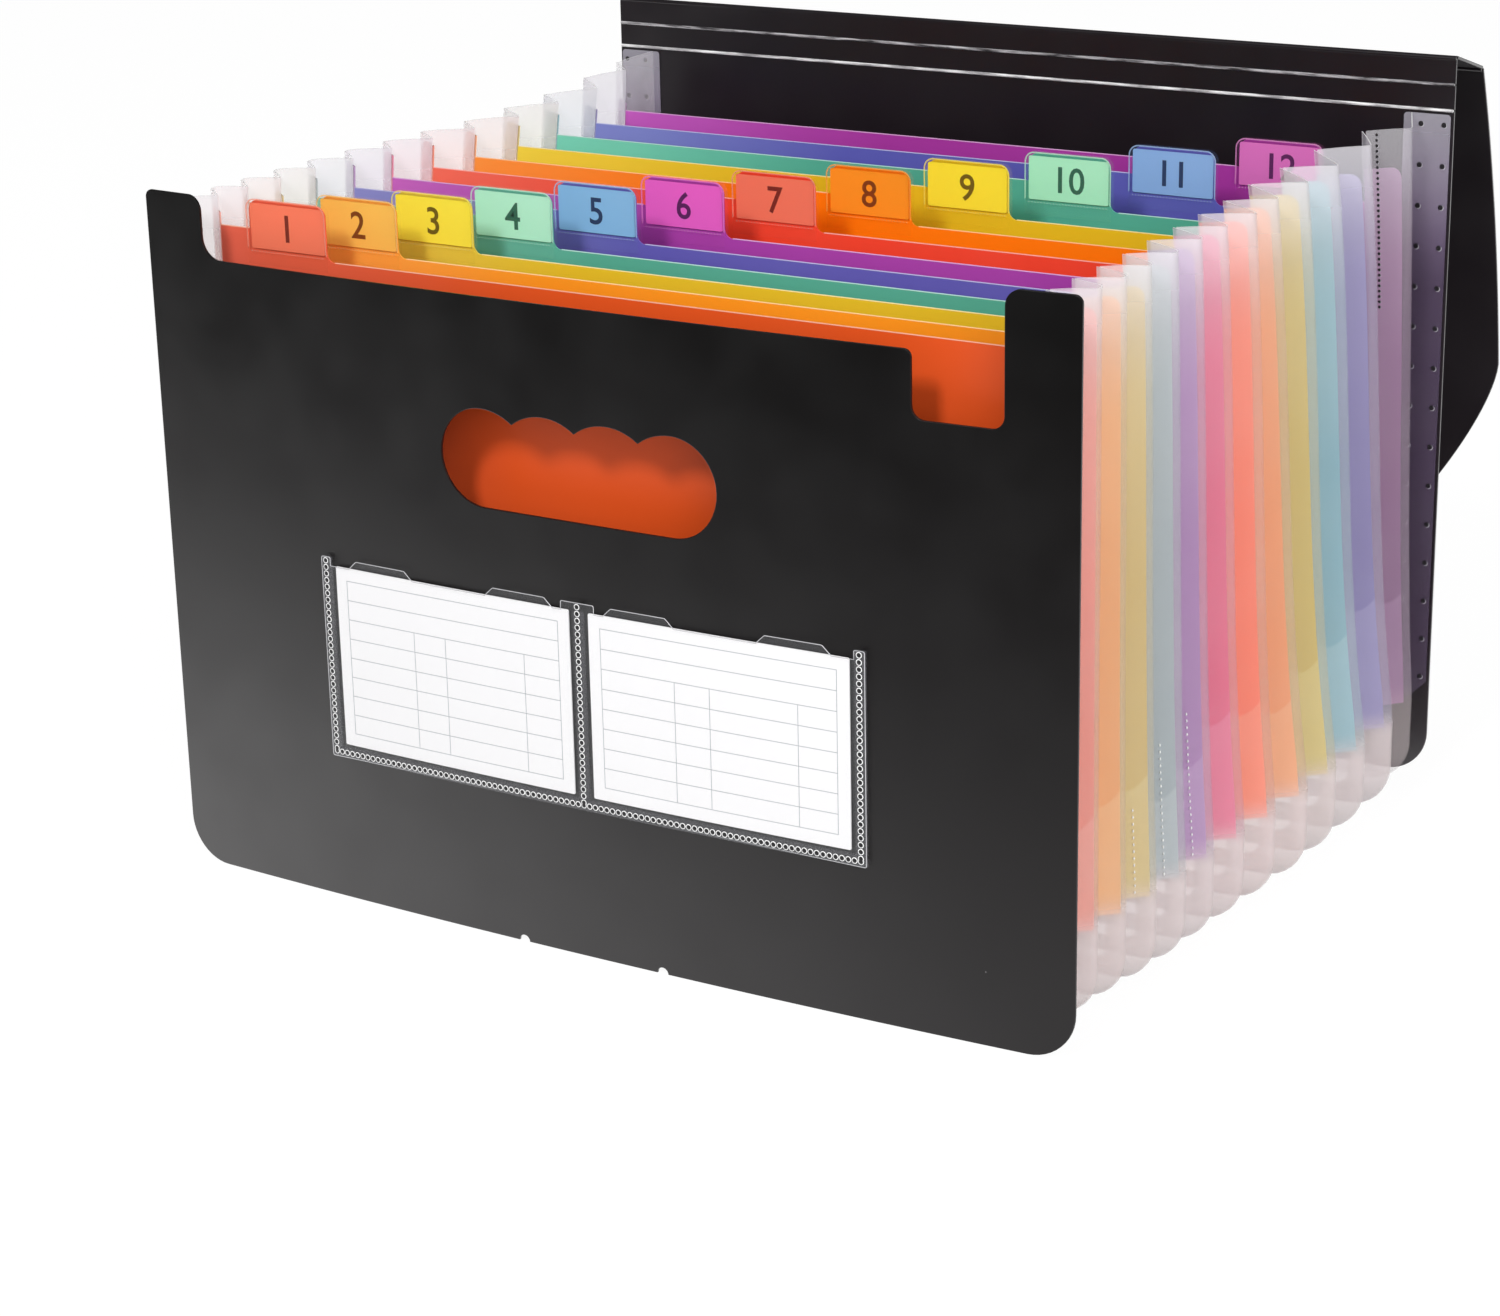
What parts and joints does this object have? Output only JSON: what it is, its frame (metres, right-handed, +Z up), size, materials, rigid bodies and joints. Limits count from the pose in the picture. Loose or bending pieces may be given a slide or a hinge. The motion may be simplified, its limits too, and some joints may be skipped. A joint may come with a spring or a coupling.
{
  "type": "accordion file folder",
  "caption": "Expanding document folder: two sheet covers joined by pleated film, tabbed dividers between them, a carrying hole, a label pocket and a flap folded back.",
  "frame": {"origin": "middle of the rear cover's lower edge, in the middle of its thickness, on the surface that the folder stands on", "axes": "+Z up, +X to the right along the covers as seen from the front, +Y from the front cover to the rear cover"},
  "size_m": [0.33, 0.3304, 0.2509],
  "materials": {
    "black_polypropylene": "satin black polypropylene sheet",
    "frosted_film": "frosted translucent film",
    "clear_film": "clear film",
    "white_paper": "matt white paper",
    "red_sheet": "satin coloured sheet",
    "orange_sheet": "satin coloured sheet",
    "yellow_sheet": "satin coloured sheet",
    "green_sheet": "satin coloured sheet",
    "blue_sheet": "satin coloured sheet",
    "purple_sheet": "satin coloured sheet",
    "red_sleeve": "clear tinted film",
    "orange_sleeve": "clear tinted film",
    "yellow_sleeve": "clear tinted film",
    "green_sleeve": "clear tinted film",
    "blue_sleeve": "clear tinted film",
    "purple_sleeve": "clear tinted film"
  },
  "bodies": {
    "rear_cover": {"rear_cover": "black_polypropylene", "gusset_pleat_13": "frosted_film"},
    "front_cover": {"front_cover": "black_polypropylene", "label_pocket": "clear_film"},
    "divider_01": {"divider_01": "red_sheet", "tab_sleeve_01": "red_sleeve", "gusset_pleat_01": "frosted_film"},
    "divider_02": {"divider_02": "orange_sheet", "tab_sleeve_02": "orange_sleeve", "gusset_pleat_02": "frosted_film"},
    "divider_03": {"divider_03": "yellow_sheet", "tab_sleeve_03": "yellow_sleeve", "gusset_pleat_03": "frosted_film"},
    "divider_04": {"divider_04": "green_sheet", "tab_sleeve_04": "green_sleeve", "gusset_pleat_04": "frosted_film"},
    "divider_05": {"divider_05": "blue_sheet", "tab_sleeve_05": "blue_sleeve", "gusset_pleat_05": "frosted_film"},
    "divider_06": {"divider_06": "purple_sheet", "tab_sleeve_06": "purple_sleeve", "gusset_pleat_06": "frosted_film"},
    "divider_07": {"divider_07": "red_sheet", "tab_sleeve_07": "red_sleeve", "gusset_pleat_07": "frosted_film"},
    "divider_08": {"divider_08": "orange_sheet", "tab_sleeve_08": "orange_sleeve", "gusset_pleat_08": "frosted_film"},
    "divider_09": {"divider_09": "yellow_sheet", "tab_sleeve_09": "yellow_sleeve", "gusset_pleat_09": "frosted_film"},
    "divider_10": {"divider_10": "green_sheet", "tab_sleeve_10": "green_sleeve", "gusset_pleat_10": "frosted_film"},
    "divider_11": {"divider_11": "blue_sheet", "tab_sleeve_11": "blue_sleeve", "gusset_pleat_11": "frosted_film"},
    "divider_12": {"divider_12": "purple_sheet", "tab_sleeve_12": "purple_sleeve", "gusset_pleat_12": "frosted_film"},
    "tab_label_01": {"tab_label_01": "white_paper"},
    "tab_label_02": {"tab_label_02": "white_paper"},
    "tab_label_03": {"tab_label_03": "white_paper"},
    "tab_label_04": {"tab_label_04": "white_paper"},
    "tab_label_05": {"tab_label_05": "white_paper"},
    "tab_label_06": {"tab_label_06": "white_paper"},
    "tab_label_07": {"tab_label_07": "white_paper"},
    "tab_label_08": {"tab_label_08": "white_paper"},
    "tab_label_09": {"tab_label_09": "white_paper"},
    "tab_label_10": {"tab_label_10": "white_paper"},
    "tab_label_11": {"tab_label_11": "white_paper"},
    "tab_label_12": {"tab_label_12": "white_paper"},
    "label_card_left": {"label_card_left": "white_paper"},
    "label_card_right": {"label_card_right": "white_paper"},
    "spine_strip_lower": {"spine_strip_lower": "black_polypropylene"},
    "spine_strip_middle": {"spine_strip_middle": "black_polypropylene"},
    "spine_strip_top": {"spine_strip_top": "black_polypropylene"},
    "flap": {"flap": "black_polypropylene"}
  },
  "joints": [
    {"name": "front_cover_slide", "type": "slide", "parent": "rear_cover", "child": "front_cover", "axis": [0, 1, 0], "range_m": [0, 0.23138], "deforming": ["gusset_pleat_01", "gusset_pleat_02", "gusset_pleat_03", "gusset_pleat_04", "gusset_pleat_05", "gusset_pleat_06", "gusset_pleat_07", "gusset_pleat_08", "gusset_pleat_09", "gusset_pleat_10", "gusset_pleat_11", "gusset_pleat_12", "gusset_pleat_13"]},
    {"name": "divider_01_slide", "type": "slide", "parent": "rear_cover", "child": "divider_01", "axis": [0, 1, 0], "range_m": [0, 0.22009]},
    {"name": "divider_02_slide", "type": "slide", "parent": "rear_cover", "child": "divider_02", "axis": [0, 1, 0], "range_m": [0, 0.20763]},
    {"name": "divider_03_slide", "type": "slide", "parent": "rear_cover", "child": "divider_03", "axis": [0, 1, 0], "range_m": [0, 0.19401]},
    {"name": "divider_04_slide", "type": "slide", "parent": "rear_cover", "child": "divider_04", "axis": [0, 1, 0], "range_m": [0, 0.17923]},
    {"name": "divider_05_slide", "type": "slide", "parent": "rear_cover", "child": "divider_05", "axis": [0, 1, 0], "range_m": [0, 0.16329]},
    {"name": "divider_06_slide", "type": "slide", "parent": "rear_cover", "child": "divider_06", "axis": [0, 1, 0], "range_m": [0, 0.14619]},
    {"name": "divider_07_slide", "type": "slide", "parent": "rear_cover", "child": "divider_07", "axis": [0, 1, 0], "range_m": [0, 0.12793]},
    {"name": "divider_08_slide", "type": "slide", "parent": "rear_cover", "child": "divider_08", "axis": [0, 1, 0], "range_m": [0, 0.10851]},
    {"name": "divider_09_slide", "type": "slide", "parent": "rear_cover", "child": "divider_09", "axis": [0, 1, 0], "range_m": [0, 0.08793]},
    {"name": "divider_10_slide", "type": "slide", "parent": "rear_cover", "child": "divider_10", "axis": [0, 1, 0], "range_m": [0, 0.06619]},
    {"name": "divider_11_slide", "type": "slide", "parent": "rear_cover", "child": "divider_11", "axis": [0, 1, 0], "range_m": [0, 0.04329]},
    {"name": "divider_12_slide", "type": "slide", "parent": "rear_cover", "child": "divider_12", "axis": [0, 1, 0], "range_m": [0, 0.01923]},
    {"name": "tab_label_01_slide", "type": "slide", "parent": "divider_01", "child": "tab_label_01", "axis": [1, 0, 0], "range_m": [0, 0.014]},
    {"name": "tab_label_02_slide", "type": "slide", "parent": "divider_02", "child": "tab_label_02", "axis": [1, 0, 0], "range_m": [0, 0.014]},
    {"name": "tab_label_03_slide", "type": "slide", "parent": "divider_03", "child": "tab_label_03", "axis": [1, 0, 0], "range_m": [0, 0.014]},
    {"name": "tab_label_04_slide", "type": "slide", "parent": "divider_04", "child": "tab_label_04", "axis": [1, 0, 0], "range_m": [0, 0.014]},
    {"name": "tab_label_05_slide", "type": "slide", "parent": "divider_05", "child": "tab_label_05", "axis": [1, 0, 0], "range_m": [0, 0.014]},
    {"name": "tab_label_06_slide", "type": "slide", "parent": "divider_06", "child": "tab_label_06", "axis": [1, 0, 0], "range_m": [0, 0.014]},
    {"name": "tab_label_07_slide", "type": "slide", "parent": "divider_07", "child": "tab_label_07", "axis": [1, 0, 0], "range_m": [0, 0.014]},
    {"name": "tab_label_08_slide", "type": "slide", "parent": "divider_08", "child": "tab_label_08", "axis": [1, 0, 0], "range_m": [0, 0.014]},
    {"name": "tab_label_09_slide", "type": "slide", "parent": "divider_09", "child": "tab_label_09", "axis": [1, 0, 0], "range_m": [0, 0.014]},
    {"name": "tab_label_10_slide", "type": "slide", "parent": "divider_10", "child": "tab_label_10", "axis": [1, 0, 0], "range_m": [0, 0.014]},
    {"name": "tab_label_11_slide", "type": "slide", "parent": "divider_11", "child": "tab_label_11", "axis": [1, 0, 0], "range_m": [0, 0.014]},
    {"name": "tab_label_12_slide", "type": "slide", "parent": "divider_12", "child": "tab_label_12", "axis": [1, 0, 0], "range_m": [0, 0.014]},
    {"name": "label_card_left_slide", "type": "slide", "parent": "front_cover", "child": "label_card_left", "axis": [0, 0, 1], "range_m": [0, 0.06]},
    {"name": "label_card_right_slide", "type": "slide", "parent": "front_cover", "child": "label_card_right", "axis": [0, 0, 1], "range_m": [0, 0.06]},
    {"name": "lower_crease", "type": "hinge", "parent": "rear_cover", "child": "spine_strip_lower", "pos_m": [0, -0.0005, 0.233], "axis": [1, 0, 0], "range_deg": [0, 45]},
    {"name": "middle_crease", "type": "hinge", "parent": "spine_strip_lower", "child": "spine_strip_middle", "pos_m": [0, -0.0005, 0.2415], "axis": [1, 0, 0], "range_deg": [0, 45]},
    {"name": "upper_crease", "type": "hinge", "parent": "spine_strip_middle", "child": "spine_strip_top", "pos_m": [0, 0.0005, 0.25], "axis": [1, 0, 0], "range_deg": [0, 106]},
    {"name": "flap_crease", "type": "hinge", "parent": "spine_strip_top", "child": "flap", "pos_m": [0, 0.02444, 0.24314], "axis": [1, 0, 0], "range_deg": [0, 52]}
  ],
  "couplings": [
    {"joint": "divider_01_slide", "follows": "front_cover_slide", "ratio": 0.95116},
    {"joint": "divider_02_slide", "follows": "front_cover_slide", "ratio": 0.89731},
    {"joint": "divider_03_slide", "follows": "front_cover_slide", "ratio": 0.83845},
    {"joint": "divider_04_slide", "follows": "front_cover_slide", "ratio": 0.77457},
    {"joint": "divider_05_slide", "follows": "front_cover_slide", "ratio": 0.70568},
    {"joint": "divider_06_slide", "follows": "front_cover_slide", "ratio": 0.63177},
    {"joint": "divider_07_slide", "follows": "front_cover_slide", "ratio": 0.55286},
    {"joint": "divider_08_slide", "follows": "front_cover_slide", "ratio": 0.46893},
    {"joint": "divider_09_slide", "follows": "front_cover_slide", "ratio": 0.37998},
    {"joint": "divider_10_slide", "follows": "front_cover_slide", "ratio": 0.28602},
    {"joint": "divider_11_slide", "follows": "front_cover_slide", "ratio": 0.18705},
    {"joint": "divider_12_slide", "follows": "front_cover_slide", "ratio": 0.083067}
  ]
}
